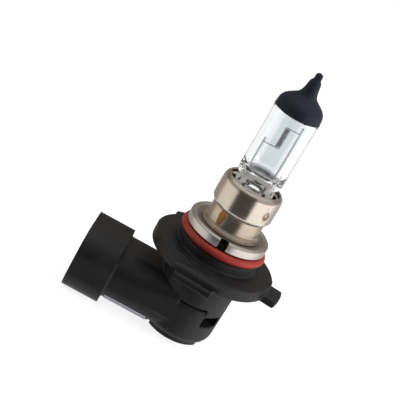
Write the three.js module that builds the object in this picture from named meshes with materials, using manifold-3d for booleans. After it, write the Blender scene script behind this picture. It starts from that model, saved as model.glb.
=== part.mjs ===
// Right-angle two-blade halogen headlight bulb (22 mm bore, 12 V single filament).
// Millimetres, +Z up along the lamp axis towards the glass tip, connector towards -X.
// Origin: on the lamp axis, in the plane of the plastic flange's top face.
import * as THREE from 'three';
import { mergeVertices } from 'three/addons/utils/BufferGeometryUtils.js';
import Module from 'manifold-3d';

const wasm = await Module();
wasm.setup();

// ---------------------------------------------------------------- driving dimensions
// capsule
const GLASS_R = 6.0;          // tube outer radius over the coating band
const GLASS_WALL = 1.0;
const CAPSULE_SEG = 36;
const GLASS_TUBE_Z = 26.3;    // where the round tube starts to be pressed flat
const TIP_Z = 52.35;
const CAP_EDGE_Z = 41.25;     // lower edge of the black top coating
const PINCH_HALF_W = 4.5;
const SHOULDER_HALF_W = 5.9;  // flattened end of the tube, wider than the pinch
const SHOULDER_Z = 23.2;
const PINCH_HALF_T = 1.65;
const PINCH_BOTTOM_Z = 9.6;
// filament and leads
const FIL_Z0 = 31.6, FIL_Z1 = 36.8;
const FIL_R = 0.62, FIL_WIRE_R = 0.13, FIL_TURNS = 9;
const POST_X_RIGHT = 3.2, POST_TOP_RIGHT = 38.6;
const POST_X_LEFT = -3.7, POST_TOP_LEFT = 32.5;
const POST_R = 0.3;
const FOIL_Z0 = 12.6, FOIL_Z1 = 19.4;
const FOIL_X_RIGHT = 3.0, FOIL_X_LEFT = -3.0;
// metal parts
const COLLAR_R = 8.05, COLLAR_TOP_Z = 21.1, COLLAR_STEP_Z = 13.9, COLLAR_BOTTOM_Z = 12.9;
const SLEEVE_R = 7.05, SLEEVE_TOP_Z = 15.6;
const RING_R = 10.8, RING_TOP_Z = 7.95, RING_BOTTOM_Z = 5.45;
const SHEET = 0.5;
const CLIP_TOP_Z = 23.0;
// seal
const SEAL_R = 10.5, SEAL_SECTION_R = 1.2, SEAL_Z = 3.95;
// moulded base
const HUB_R = 10.9, HUB_TOP_Z = 2.7, GROOVE_R = 9.2, SEAT_TOP_Z = 6.7;
const FLANGE_R = 16.4, FLANGE_T = 3.5;
const LUG_R = 19.9, LUG_TOP_Z = -1.7;
const GUIDE_AZ = -96.5;       // direction the guide rib faces, degrees from +X
const GUIDE_SHIFT = 0.6;      // the rib stands this far towards the connector
const BODY_R = 9.75, BODY_BOTTOM_Z = -22.6;
const NECK_W = 18.6, NECK_H = 14.0, NECK_R = 5.5, NECK_Z = -16.95;
const SHROUD_W = 21.0, SHROUD_H = 17.3, SHROUD_R = 6.0, SHROUD_Z = -17.05;
const SHROUD_MOUTH_X = -30.4, SHROUD_BACK_X = -20.2;
const SOCKET_W = 17.0, SOCKET_H = 12.8, SOCKET_R = 4.2, SOCKET_FLOOR_X = -17.6;
// terminals
const BLADE_Y = 3.1, BLADE_W = 2.8, BLADE_T = 0.8, BLADE_TIP_X = -28.2, BLADE_Z = -17.05;
const CHAMBER_TOP_Z = -5.2;
const COVER_R = 8.45, COVER_BOTTOM_Z = -24.05;

const deg = Math.PI / 180;

// ---------------------------------------------------------------- helpers
const V2 = (x, y) => new THREE.Vector2(x, y);

// closed geometry -> solid
function solid(geom, m) {
  let g = geom.clone();
  if (m) g.applyMatrix4(m);
  g.deleteAttribute('normal');
  if (g.getAttribute('uv')) g.deleteAttribute('uv');
  g = mergeVertices(g, 1e-4);
  const p = g.getAttribute('position').array, ix = g.getIndex().array, t = [];
  for (let i = 0; i < ix.length; i += 3) {
    const a = ix[i], b = ix[i + 1], c = ix[i + 2];
    if (a !== b && b !== c && a !== c) t.push(a, b, c);
  }
  return new wasm.Manifold(new wasm.Mesh({ numProp: 3, vertProperties: new Float32Array(p), triVerts: new Uint32Array(t) }));
}
// solid of revolution about Z from an outline in (radius, height), turned anticlockwise first
function turned(pts, seg = 48) {
  const area = pts.reduce((a, [r, z], i) => { const [r2, z2] = pts[(i + 1) % pts.length]; return a + r * z2 - r2 * z; }, 0);
  const way = area < 0 ? pts.slice().reverse() : pts;
  return solid(new THREE.LatheGeometry(way.map(([r, z]) => V2(r, z)), seg), new THREE.Matrix4().makeRotationX(Math.PI / 2));
}
const ring = (pts, seg = 48) => turned([...pts, pts[0]], seg);
const disc = (r, z0, z1, seg = 48) => turned([[0, z0], [r, z0], [r, z1], [0, z1]], seg);
function box(x0, x1, y0, y1, z0, z1) {
  return solid(new THREE.BoxGeometry(x1 - x0, y1 - y0, z1 - z0),
    new THREE.Matrix4().makeTranslation((x0 + x1) / 2, (y0 + y1) / 2, (z0 + z1) / 2));
}
function roundRect(w, h, r, n = 5) {
  const s = [];
  for (const [cx, cy, a0] of [[w / 2 - r, h / 2 - r, 0], [-w / 2 + r, h / 2 - r, 90], [-w / 2 + r, -h / 2 + r, 180], [w / 2 - r, -h / 2 + r, 270]])
    for (let k = 0; k <= n; k++) {
      const a = (a0 + 90 * k / n) * deg;
      s.push(V2(cx + r * Math.cos(a), cy + r * Math.sin(a)));
    }
  return new THREE.Shape(s);
}
const shapeOf = (pts) => new THREE.Shape(pts.map(([x, y]) => V2(x, y)));
const prism = (shape, depth, m) => solid(new THREE.ExtrudeGeometry(shape, { depth, bevelEnabled: false, curveSegments: 6 }), m);
// outline in (y, z), pushed along +X from x0 to x1
const alongX = (shape, x0, x1, z = 0) => {
  const m = new THREE.Matrix4().makeBasis(new THREE.Vector3(0, 1, 0), new THREE.Vector3(0, 0, 1), new THREE.Vector3(1, 0, 0));
  m.setPosition(x0, 0, z);
  return prism(shape, x1 - x0, m);
};
// outline in (x, y), pushed along +Z from z0 to z1
const alongZ = (shape, z0, z1) => prism(shape, z1 - z0, new THREE.Matrix4().makeTranslation(0, 0, z0));
// outline in (x, z), pushed along +Y from y0 to y1
const alongY = (shape, y0, y1) => {
  const m = new THREE.Matrix4().makeBasis(new THREE.Vector3(1, 0, 0), new THREE.Vector3(0, 0, 1), new THREE.Vector3(0, -1, 0));
  m.setPosition(0, y1, 0);
  return prism(shape, y1 - y0, m);
};
const rotZ = (s, a) => s.rotate([0, 0, a]);
const wire = (curve, r, steps, sides = 8) => {
  const c = [];
  for (let k = 0; k < sides; k++) c.push(V2(r * Math.cos(2 * Math.PI * k / sides), r * Math.sin(2 * Math.PI * k / sides)));
  return solid(new THREE.ExtrudeGeometry(new THREE.Shape(c), { steps, bevelEnabled: false, extrudePath: curve }));
};
const path = (pts, tension = 0.0) => {
  const cp = new THREE.CurvePath();
  for (let i = 0; i + 1 < pts.length; i++) cp.add(new THREE.LineCurve3(new THREE.Vector3(...pts[i]), new THREE.Vector3(...pts[i + 1])));
  return cp;
};

const object = new THREE.Group();
function add(group, name, s, colour, roughness, metalness, extra = {}) {
  const m = s.getMesh();
  const g = new THREE.BufferGeometry();
  g.setAttribute('position', new THREE.BufferAttribute(new Float32Array(m.vertProperties), 3));
  g.setIndex(new THREE.BufferAttribute(new Uint32Array(m.triVerts), 1));
  g.computeVertexNormals();
  const mesh = new THREE.Mesh(g, new THREE.MeshStandardMaterial({ color: colour, roughness, metalness, flatShading: true, ...extra }));
  mesh.name = name;
  group.add(mesh);
  return mesh;
}

// ================================================================= capsule
const capsule = new THREE.Group();
object.add(capsule);

// outline of the quartz envelope above the coating edge, exhaust tip included
const dome = [
  [5.97, 41.3], [5.95, 42.3], [5.74, 43.3], [5.12, 44.25], [3.88, 45.2], [2.56, 46.15], [2.02, 47.1],
  [1.76, 48.1], [1.61, 49.0], [1.4, 50.0], [0.86, 50.95], [0.82, 51.5], [0.5, 52.15]];
const COAT = 0.12;   // coating, with its clearance, taken out of the glass radius
const inset = dome.map(([r, z], i) => [Math.max(r - COAT - 0.1, 0.2), z - (i > 3 ? 0.16 : 0.02) - (i > 8 ? 0.06 : 0)]);
{
  const outer = turned([
    [0, GLASS_TUBE_Z - 0.1], [GLASS_R, GLASS_TUBE_Z - 0.1], [GLASS_R, CAP_EDGE_Z - 0.2], [GLASS_R - COAT - 0.1, CAP_EDGE_Z - 0.15], ...inset, [0, TIP_Z - 0.35]], CAPSULE_SEG);
  const ri = GLASS_R - GLASS_WALL;
  const cavity = turned([
    [0, 25.6], [2.2, 25.2], [3.9, 24.6], [4.7, 24.9], [ri, 26.0], [ri, 42.2], [4.6, 43.2], [3.6, 44.0], [2.2, 44.6], [0, 44.8]], CAPSULE_SEG);
  // the tube is pressed flat over a few millimetres, then narrows to the pinch
  const flat = roundRect(2 * SHOULDER_HALF_W, 2 * PINCH_HALF_T, 1.3, 4);
  const pressed = wasm.Manifold.hull([
    alongZ(flat, SHOULDER_Z, SHOULDER_Z + 0.1),
    alongZ(roundRect(11.9, 9.4, 4.4, 7), SHOULDER_Z + 1.2, SHOULDER_Z + 1.3),
    disc(GLASS_R, GLASS_TUBE_Z - 0.1, GLASS_TUBE_Z, CAPSULE_SEG)]);
  const taper = wasm.Manifold.hull([
    alongZ(roundRect(2 * PINCH_HALF_W, 2 * PINCH_HALF_T, 0.8, 4), 20.5, 20.6),
    alongZ(flat, SHOULDER_Z - 0.4, SHOULDER_Z + 0.05)]);
  const pinch = alongZ(roundRect(2 * PINCH_HALF_W, 2 * PINCH_HALF_T, 0.8, 4), PINCH_BOTTOM_Z, 20.6);
  let s = outer.add(pressed).add(taper).add(pinch).subtract(cavity);
  // shaft for each lead: round in the shoulder, flat where the foil sits, round at the bottom
  for (const [px, fx] of [[POST_X_RIGHT, FOIL_X_RIGHT], [POST_X_LEFT, FOIL_X_LEFT]]) {
    s = s.subtract(box(fx - 1.15, fx + 1.15, -0.42, 0.42, FOIL_Z0 - 0.3, FOIL_Z1 + 0.3));
    s = s.subtract(disc(POST_R + 0.12, FOIL_Z1, 25.9, 12).translate([px, 0, 0]));
    s = s.subtract(disc(0.5, PINCH_BOTTOM_Z - 1, FOIL_Z0, 12).translate([fx, 0, 0]));
  }
  add(capsule, 'glass_capsule', s, 0xe9eef0, 0.05, 0.0, { transparent: true, opacity: 0.35 });
}
{
  const out = [[6.0, CAP_EDGE_Z], ...dome, [0.0, TIP_Z]];
  const inn = [[GLASS_R - 0.12, CAP_EDGE_Z], ...dome.map(([r, z], i) => [Math.max(r - 0.12, 0.26), z - (i > 3 ? 0.06 : 0) - (i > 8 ? 0.06 : 0)]), [0.0, TIP_Z - 0.18]];
  add(capsule, 'top_coating', turned([...inn.slice().reverse(), ...out], CAPSULE_SEG), 0x242a36, 0.35, 0.1);
}

// ================================================================= filament, posts, foils, outer leads
const electrics = new THREE.Group();
object.add(electrics);
{
  class Coil extends THREE.Curve {
    getPoint(t, target = new THREE.Vector3()) {
      const a = t * FIL_TURNS * 2 * Math.PI;
      const z = FIL_Z1 + (FIL_Z0 - FIL_Z1) * t;
      return target.set(FIL_R * Math.cos(a), FIL_R * Math.sin(a), z);
    }
  }
  const coil = wire(new Coil(), FIL_WIRE_R, FIL_TURNS * 10, 5);
  const legTop = wire(path([[FIL_R - 0.02, -0.12, FIL_Z1], [POST_X_RIGHT - POST_R - 0.08, 0, FIL_Z1 + 0.12]]), FIL_WIRE_R, 1, 6);
  const legLow = wire(path([[FIL_R * 0.95, 0, FIL_Z0 - 0.02], [-0.2, 0, FIL_Z0 - 0.22], [POST_X_LEFT + POST_R + 0.08, 0, FIL_Z0 - 0.22]]), FIL_WIRE_R, 2, 6);
  add(electrics, 'filament_coil', coil.add(legTop).add(legLow), 0x6b6a6a, 0.45, 0.9);
}
const moly = 0x8a8886;
add(electrics, 'support_post_right', disc(POST_R, FOIL_Z1 + 0.15, POST_TOP_RIGHT, 12).translate([POST_X_RIGHT, 0, 0]), moly, 0.35, 0.95);
add(electrics, 'support_post_left', disc(POST_R, FOIL_Z1 + 0.15, POST_TOP_LEFT, 12).translate([POST_X_LEFT, 0, 0]), moly, 0.35, 0.95);
add(electrics, 'foil_right', box(FOIL_X_RIGHT - 1.0, FOIL_X_RIGHT + 1.0, -0.15, 0.15, FOIL_Z0 + 0.1, FOIL_Z1), moly, 0.3, 0.95);
add(electrics, 'foil_left', box(FOIL_X_LEFT - 1.0, FOIL_X_LEFT + 1.0, -0.15, 0.15, FOIL_Z0 + 0.1, FOIL_Z1), moly, 0.3, 0.95);
// nickel leads from the pinch down to the weld tabs
const leadPath = (sx) => new THREE.CatmullRomCurve3([
  new THREE.Vector3(sx * 3.0, 0, FOIL_Z0 - 0.05), new THREE.Vector3(sx * 3.0, 0, 8.0), new THREE.Vector3(sx * 2.7, sx * 1.1, 2.0),
  new THREE.Vector3(sx * 1.6, sx * 2.6, -4.0), new THREE.Vector3(0.6, sx * BLADE_Y, -9.0), new THREE.Vector3(0.6, sx * BLADE_Y, -12.4)], false, 'centripetal');
add(electrics, 'outer_lead_right', wire(leadPath(1), 0.35, 26, 8), 0xb9b4ac, 0.35, 0.95);
add(electrics, 'outer_lead_left', wire(leadPath(-1), 0.35, 26, 8), 0xb9b4ac, 0.35, 0.95);

// ================================================================= metal holder
const holder = new THREE.Group();
object.add(holder);
const nickel = 0xbdb6ac;
// clip hoop round the pinch, windowed front and back
{
  const hw = PINCH_HALF_W + 0.2, ht = PINCH_HALF_T + 0.25, t = 0.45;
  let s = alongZ(roundRect(2 * (hw + t), 2 * (ht + t), 1.2, 4), 13.4, 20.2)
    .subtract(alongZ(roundRect(2 * hw, 2 * ht, 0.8, 4), 13.0, 21.8));
  for (const sy of [-1, 1]) {
    // tall face plate, with a window near its top and the spring tongue below
    const face = alongY(shapeOf([[-4.1, 19.6], [4.1, 19.6], [4.1, CLIP_TOP_Z - 0.25], [3.85, CLIP_TOP_Z], [-3.85, CLIP_TOP_Z], [-4.1, CLIP_TOP_Z - 0.25]]),
      sy < 0 ? -(ht + t) : ht, sy < 0 ? -ht : ht + t);
    s = s.add(face);
    const y0 = sy < 0 ? -(ht + t + 0.5) : ht - 0.2, y1 = sy < 0 ? -(ht - 0.2) : ht + t + 0.5;
    s = s.subtract(box(-2.15, 2.15, y0, y1, 19.95, 22.0));
    s = s.subtract(box(-2.6, -1.75, y0, y1, 14.6, 18.6));
    s = s.subtract(box(1.75, 2.6, y0, y1, 14.6, 18.6));
    s = s.subtract(box(-2.0, 2.0, y0, y1, 14.6, 15.3));
  }
  add(holder, 'pinch_clip', s, nickel, 0.28, 1.0);
}
// plate that carries the clip inside the mouth of the collar
{
  let s = disc(7.15, 19.2, 19.6, 40);
  s = s.subtract(alongZ(roundRect(2 * 5.5, 2 * 2.65, 0.8, 4), 19, 20));
  for (const sx of [-1, 1])
    s = s.subtract(alongZ(roundRect(2.1, 5.7, 0.9, 4), 19, 20).translate([sx * 5.25, 0, 0]));
  add(holder, 'clip_plate', s, nickel, 0.25, 1.0);
}
// upper cup, telescoped over the sleeve and welded once the filament is set
add(holder, 'capsule_collar', ring([
  [SLEEVE_R + 0.1, COLLAR_BOTTOM_Z], [COLLAR_R - 0.75, COLLAR_BOTTOM_Z - 0.05], [COLLAR_R - 0.35, COLLAR_STEP_Z - 0.55], [COLLAR_R, COLLAR_STEP_Z + 0.1],
  [COLLAR_R, 19.2], [COLLAR_R - 0.4, 20.4], [COLLAR_R - 1.3, COLLAR_TOP_Z], [6.55, COLLAR_TOP_Z],
  [6.55, COLLAR_TOP_Z - 0.5], [COLLAR_R - 0.9, 20.0], [COLLAR_R - SHEET, 19.0],
  [COLLAR_R - SHEET, COLLAR_STEP_Z + 0.6], [SLEEVE_R + 0.1, COLLAR_STEP_Z]], 40), 0xc4bbae, 0.25, 1.0);
// sleeve under the collar, its foot flange welded to the ring
add(holder, 'focus_sleeve', ring([
  [SLEEVE_R - SHEET, 7.7], [8.2, 7.7], [8.2, 8.0], [7.75, 8.1], [7.4, 8.35], [SLEEVE_R, 9.2],
  [SLEEVE_R, SLEEVE_TOP_Z], [SLEEVE_R - SHEET, SLEEVE_TOP_Z]], 40), 0xc0b7ac, 0.28, 1.0);
// drawn ring: dished top and rolled outer wall with one slot
{
  let s = ring([
    [6.6, 7.1], [10.0, 7.1], [RING_R - SHEET, 6.8], [RING_R - SHEET, RING_BOTTOM_Z], [RING_R, RING_BOTTOM_Z],
    [RING_R, 7.45], [RING_R - 0.45, RING_TOP_Z], [9.7, RING_TOP_Z], [8.8, 7.6], [6.6, 7.6]], 48);
  s = s.subtract(rotZ(box(9.95, 12, -1.1, 1.1, 4.8, 9), -91.5));
  add(holder, 'base_ring', s, 0xbfb7b2, 0.3, 1.0);
}

// ================================================================= seal
{
  const c = [];
  for (let k = 0; k < 10; k++) c.push([SEAL_R + SEAL_SECTION_R * Math.cos(2 * Math.PI * k / 10), SEAL_Z + SEAL_SECTION_R * Math.sin(2 * Math.PI * k / 10)]);
  add(object, 'sealing_ring', ring(c, 48), 0xa43a2c, 0.45, 0.0);
}

// ================================================================= moulded base
const base = new THREE.Group();
object.add(base);
const black = 0x2b2c2f;
{
  // flange with softened edges
  let s = turned([[0, -FLANGE_T], [FLANGE_R - 0.35, -FLANGE_T], [FLANGE_R, -FLANGE_T + 0.3], [FLANGE_R, -0.25], [FLANGE_R - 0.25, 0], [0, 0]], 72);
  // rear half of the top face lies lower
  s = s.subtract(rotZ(box(-20, 20, 0.6, 20, -0.45, 1), 0));
  // raised front-left field of the top face
  const field = alongZ(shapeOf([[-20, 0.3], [-20, -20], [-9.6, -20], [-9.6, -6.0], [-8.6, 0.3]]), -0.2, 0.42)
    .intersect(turned([[0, -1], [FLANGE_R, -1], [FLANGE_R, 0.2], [FLANGE_R - 0.25, 0.45], [0, 0.45]], 72));
  s = s.add(field);
  // small locating rise on the rim next to it
  const rise = alongY(shapeOf([[-9.7, -0.3], [-4.2, -0.3], [-4.4, 0.1], [-6.8, 0.95], [-8.2, 0.9], [-9.7, 0.42]]), -17, -10)
    .intersect(ring([[FLANGE_R - 1.3, -1], [FLANGE_R, -1], [FLANGE_R, 1.2], [FLANGE_R - 1.3, 1.2]], 72));
  s = s.add(rise);
  // bayonet lugs: one narrow on the right, two wide towards the back
  for (const [a, w] of [[-9.4, 8.1], [118, 9.0], [62, 6.5]]) {
    const lug = box(FLANGE_R - 2, LUG_R + 1, -w / 2, w / 2, -FLANGE_T, LUG_TOP_Z)
      .intersect(turned([[0, -4], [LUG_R - 0.3, -FLANGE_T], [LUG_R, -FLANGE_T + 0.3], [LUG_R, LUG_TOP_Z - 0.2], [LUG_R - 0.2, LUG_TOP_Z], [0, LUG_TOP_Z]], 72));
    s = s.add(rotZ(lug, a));
  }
  // hub, seal groove and the seat inside the metal ring
  s = s.add(turned([[0, -1], [HUB_R, -1], [HUB_R, HUB_TOP_Z - 0.3], [HUB_R - 0.3, HUB_TOP_Z], [GROOVE_R, HUB_TOP_Z], [GROOVE_R, SEAT_TOP_Z], [0, SEAT_TOP_Z]], 56));
  // body, slightly tapered
  s = s.add(turned([[0, -2], [BODY_R + 0.25, -2], [BODY_R - 0.1, BODY_BOTTOM_Z + 1.2], [BODY_R - 0.45, BODY_BOTTOM_Z + 0.3], [BODY_R - 0.7, BODY_BOTTOM_Z], [0, BODY_BOTTOM_Z]], 64));
  // slanted flat at the lower right of the body
  s = s.subtract(alongY(shapeOf([[6.75, -22.9], [9.95, -20.5], [12, -20.5], [12, -25], [6.75, -25]]), -12, 12));
  // neck and shroud of the connector
  const neck = roundRect(NECK_W, NECK_H, NECK_R, 12);
  s = s.add(alongX(neck, SHROUD_BACK_X - 0.5, -6.9, NECK_Z));
  s = s.add(alongX(neck, -8, 0, NECK_Z).intersect(box(-9, 1, -12, 12, BODY_BOTTOM_Z + 0.4, 0)));
  // the upper half of the neck widens and squares up where it runs into the body
  const squared = wasm.Manifold.hull([
    alongX(neck, -12.6, -12.5, NECK_Z),
    alongX(roundRect(19.1, NECK_H, 2.4, 12), -2.1, -2.0, NECK_Z)]);
  s = s.add(squared.intersect(box(-13, -1, -12, 12, -18.6, 0)));
  s = s.add(alongX(roundRect(SHROUD_W, SHROUD_H, SHROUD_R, 12), SHROUD_MOUTH_X, SHROUD_BACK_X, SHROUD_Z));
  // guide rib under the flange at the front, with its ledge
  const guide = alongX(shapeOf([[9, -2.2], [14.0, -2.2], [14.15, -2.5], [14.2, -3.45], [14.35, -3.6], [14.35, -3.95], [14.0, -4.15], [13.95, -5.35], [14.12, -5.55], [14.05, -5.85], [13.3, -6.3], [9, -7.2]]), -5.2, 5.2)
    .add(alongY(shapeOf([[-6.15, -2.25], [6.15, -2.25], [6.15, -2.5], [5.2, -3.85], [-5.2, -3.85], [-6.15, -2.5]]), 9, 14.1))
    .translate([GUIDE_SHIFT, 0, 0]);
  // front scallop in the flange above the guide
  const scallop = alongX(shapeOf([[16.2, -0.35], [18, -0.35], [18, -5], [14.1, -5], [14.1, -2.3], [14.9, -1.6]]), -6.3, 6.3).translate([GUIDE_SHIFT, 0, 0]);
  s = s.subtract(rotZ(scallop, GUIDE_AZ - 90));
  s = s.add(rotZ(guide, GUIDE_AZ - 90));
  // side catch window and the front groove with its ramp
  s = s.subtract(rotZ(box(6.4, 12, -2.9, 2.9, -17.1, -14.0), -39.5));
  const groove = ring([[BODY_R - 1.1, -11.95], [BODY_R - 1.1, -12.6], [BODY_R - 0.3, -12.65], [BODY_R + 0.3, -15.4], [BODY_R + 0.3, -11.95]], 64)
    .intersect(alongZ(shapeOf([[0, 0], [-3.7, -14], [7.9, -12.4]]), -16, -11));
  s = s.subtract(groove);
  // lead shaft, weld chamber and its mouth for the rear cover
  s = s.subtract(alongZ(roundRect(9.4, 7.6, 2.5, 5), CHAMBER_TOP_Z - 0.1, 7));
  s = s.subtract(alongZ(roundRect(11.2, 13.6, 2.0, 5), BODY_BOTTOM_Z - 2.5, CHAMBER_TOP_Z));
  // connector cavity
  s = s.subtract(alongX(roundRect(SOCKET_W, SOCKET_H, SOCKET_R), SHROUD_MOUTH_X - 1, SOCKET_FLOOR_X, SHROUD_Z));
  // two latch noses on top of the cavity and the slots the blades pass through
  s = s.add(box(-29.6, -21.0, -1.6, 1.6, SHROUD_Z + SOCKET_H / 2 - 1.0, SHROUD_Z + SOCKET_H / 2 + 0.3));
  for (const sy of [-1, 1]) s = s.subtract(box(-18.5, -5.3, sy * BLADE_Y - BLADE_W / 2 - 0.1, sy * BLADE_Y + BLADE_W / 2 + 0.1, BLADE_Z - BLADE_T / 2 - 0.1, BLADE_Z + BLADE_T / 2 + 0.1));
  add(base, 'base_housing', s, black, 0.62, 0.0);
}
// push-in cover that closes the weld chamber: round plate cut flat at both ends, with a plug that fills the mouth
{
  let s = turned([[0, COVER_BOTTOM_Z], [COVER_R - 0.35, COVER_BOTTOM_Z], [COVER_R, COVER_BOTTOM_Z + 0.35], [COVER_R, BODY_BOTTOM_Z - 0.15], [0, BODY_BOTTOM_Z - 0.15]], 72)
    .intersect(box(-6.1, 6.95, -10, 10, -26, -20));
  s = s.add(alongZ(roundRect(10.7, 13.1, 1.8, 5), BODY_BOTTOM_Z - 0.3, -20.95));
  s = s.subtract(alongZ(roundRect(8.2, 10.6, 1.5, 4), -22.4, -20.0));
  add(base, 'rear_cover', s, black, 0.6, 0.0);
}

// blank label wrapped along the lower front corner of the neck
{
  const strip = roundRect(NECK_W + 0.36, NECK_H + 0.36, NECK_R + 0.18, 8);
  let s = alongX(strip, -18.3, -7.6, NECK_Z).subtract(alongX(roundRect(NECK_W + 0.06, NECK_H + 0.06, NECK_R + 0.03, 8), -19, -7, NECK_Z));
  s = s.intersect(box(-19, -7, -8.4, -2.0, -26, -19));
  add(base, 'label_strip', s, 0xc8c8dc, 0.5, 0.0);
}

// ================================================================= terminals
const terminals = new THREE.Group();
object.add(terminals);
for (const [name, sy] of [['terminal_right', 1], ['terminal_left', -1]]) {
  const y0 = sy * BLADE_Y - BLADE_W / 2, y1 = sy * BLADE_Y + BLADE_W / 2;
  // tapered blade, flat run through the neck and the upturned weld tab
  let s = alongZ(shapeOf([[BLADE_TIP_X, y0 + 0.7], [BLADE_TIP_X + 1.2, y0], [1.9, y0], [1.9, y1], [BLADE_TIP_X + 1.2, y1], [BLADE_TIP_X, y1 - 0.7]]), BLADE_Z - BLADE_T / 2, BLADE_Z + BLADE_T / 2);
  s = s.add(box(1.1, 1.9, y0, y1, BLADE_Z - BLADE_T / 2, -9.6));
  add(terminals, name, s, 0xb8b2a4, 0.3, 1.0);
}

export default object;
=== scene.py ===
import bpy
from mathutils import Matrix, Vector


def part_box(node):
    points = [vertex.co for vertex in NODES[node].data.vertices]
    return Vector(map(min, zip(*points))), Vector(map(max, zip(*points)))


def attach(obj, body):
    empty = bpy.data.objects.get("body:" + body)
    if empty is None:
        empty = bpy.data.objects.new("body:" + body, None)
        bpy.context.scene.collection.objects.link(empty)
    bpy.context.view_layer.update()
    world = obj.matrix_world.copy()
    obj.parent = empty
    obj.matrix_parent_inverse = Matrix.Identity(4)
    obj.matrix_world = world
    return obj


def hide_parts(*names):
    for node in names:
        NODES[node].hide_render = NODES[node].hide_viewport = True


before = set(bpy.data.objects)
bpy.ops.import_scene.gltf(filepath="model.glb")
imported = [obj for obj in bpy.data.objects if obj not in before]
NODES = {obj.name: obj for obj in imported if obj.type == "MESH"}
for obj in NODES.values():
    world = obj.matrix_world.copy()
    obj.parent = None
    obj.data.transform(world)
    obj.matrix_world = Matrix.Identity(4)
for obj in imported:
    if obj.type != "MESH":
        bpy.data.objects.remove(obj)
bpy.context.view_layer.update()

import math
import bpy
import bmesh
import numpy as np
from mathutils import Matrix, Vector

MM = 0.001
SCENE = bpy.context.scene
RNG = np.random.default_rng(7)


# ------------------------------------------------------------------ dimensions read from the frame, in mm
def span(node):
    lo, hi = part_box(node)
    return np.array(lo) / MM, np.array(hi) / MM


GLASS_LO, GLASS_HI = span("glass_capsule")
COAT_LO, COAT_HI = span("top_coating")
COLLAR_LO, COLLAR_HI = span("capsule_collar")
SLEEVE_LO, SLEEVE_HI = span("focus_sleeve")
RING_LO, RING_HI = span("base_ring")
SEAL_LO, SEAL_HI = span("sealing_ring")
HOUSING_LO, HOUSING_HI = span("base_housing")
COVER_LO, COVER_HI = span("rear_cover")
GLASS_R = GLASS_HI[0]
TIP_Z = COAT_HI[2]
CAP_EDGE_Z = COAT_LO[2]
COLLAR_R = COLLAR_HI[0]
RING_R = RING_HI[0]
FLOOR_Z = min(COVER_LO[2], HOUSING_LO[2]) - 0.02
HOUSING_BOTTOM = -22.6   # flat end of the body that the cover closes


# ------------------------------------------------------------------ mesh helpers, all in mm
def make(name, verts, faces, smooth=True, sharp=None):
    me = bpy.data.meshes.new(name)
    me.from_pydata([tuple(map(float, v)) for v in np.asarray(verts, float) * MM], [], [tuple(int(i) for i in f) for f in faces])
    me.validate()
    bm = bmesh.new()
    bm.from_mesh(me)
    bmesh.ops.remove_doubles(bm, verts=bm.verts, dist=1e-7)
    bmesh.ops.recalc_face_normals(bm, faces=bm.faces)
    bm.to_mesh(me)
    bm.free()
    ob = bpy.data.objects.new(name, me)
    SCENE.collection.objects.link(ob)
    if smooth:
        me.shade_smooth()
        if sharp:
            me.set_sharp_from_angle(angle=math.radians(sharp))
    return ob


def fillet(pts, r, n=4, closed=True):
    """Polyline with each corner turned into an arc; r is one radius or one per point."""
    pts = [np.array(p, float) for p in pts]
    N = len(pts)
    rs = [r] * N if np.isscalar(r) else list(r)
    out = []
    for i, p in enumerate(pts):
        if not closed and i in (0, N - 1) or rs[i] <= 0:
            out.append(p)
            continue
        a, b = pts[i - 1], pts[(i + 1) % N]
        u, v = a - p, b - p
        lu, lv = np.linalg.norm(u), np.linalg.norm(v)
        if lu < 1e-9 or lv < 1e-9:
            out.append(p)
            continue
        u, v = u / lu, v / lv
        ang = math.acos(max(-1, min(1, float(u @ v))))
        if ang > math.pi - 0.02 or ang < 0.02:
            out.append(p)
            continue
        t = min(rs[i] / math.tan(ang / 2), 0.48 * lu, 0.48 * lv)
        rr = t * math.tan(ang / 2)
        bis = (u + v) / np.linalg.norm(u + v)
        c = p + bis * (rr / math.sin(ang / 2))
        s, e = p + u * t - c, p + v * t - c
        for k in range(n + 1):
            w = k / n
            tot = math.acos(max(-1, min(1, float(s @ e) / (rr * rr))))
            q = (math.sin((1 - w) * tot) * s + math.sin(w * tot) * e) / math.sin(tot) if tot > 1e-6 else s
            out.append(c + q)
    return out


def catmull(pts, per=6):
    """Smooth curve through open polyline points."""
    P = [np.array(p, float) for p in pts]
    P = [2 * P[0] - P[1]] + P + [2 * P[-1] - P[-2]]
    out = []
    for i in range(1, len(P) - 2):
        p0, p1, p2, p3 = P[i - 1:i + 3]
        for k in range(per):
            t = k / per
            out.append(0.5 * ((2 * p1) + (-p0 + p2) * t + (2 * p0 - 5 * p1 + 4 * p2 - p3) * t * t + (-p0 + 3 * p1 - 3 * p2 + p3) * t ** 3))
    out.append(P[-2])
    return out


def lathe_grid(prof, seg, shift=None, closed=True):
    """Vertices and faces of a turned outline; shift(r, az, z) -> (r, z) moves single points."""
    verts, rows = [], []
    for r, z in prof:
        if r < 1e-6:
            verts.append((0, 0, z))
            rows.append([len(verts) - 1] * seg)
            continue
        row = []
        for k in range(seg):
            a = 2 * math.pi * k / seg
            rr, zz = (r, z) if shift is None else shift(r, a, z)
            verts.append((rr * math.cos(a), rr * math.sin(a), zz))
            row.append(len(verts) - 1)
        rows.append(row)
    faces = []
    M = len(rows)
    for i in range(M if closed else M - 1):
        A, B = rows[i], rows[(i + 1) % M]
        for k in range(seg):
            q = [A[k], A[(k + 1) % seg], B[(k + 1) % seg], B[k]]
            u = list(dict.fromkeys(q))
            if len(u) >= 3:
                faces.append(u)
    return verts, faces


def lathe(name, prof, seg=128, shift=None, closed=True, sharp=40):
    v, f = lathe_grid(prof, seg, shift, closed)
    return make(name, v, f, sharp=sharp)


def join_geo(*parts):
    V, F = [], []
    for v, f in parts:
        o = len(V)
        V += [tuple(p) for p in v]
        F += [[i + o for i in q] for q in f]
    return V, F


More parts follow.
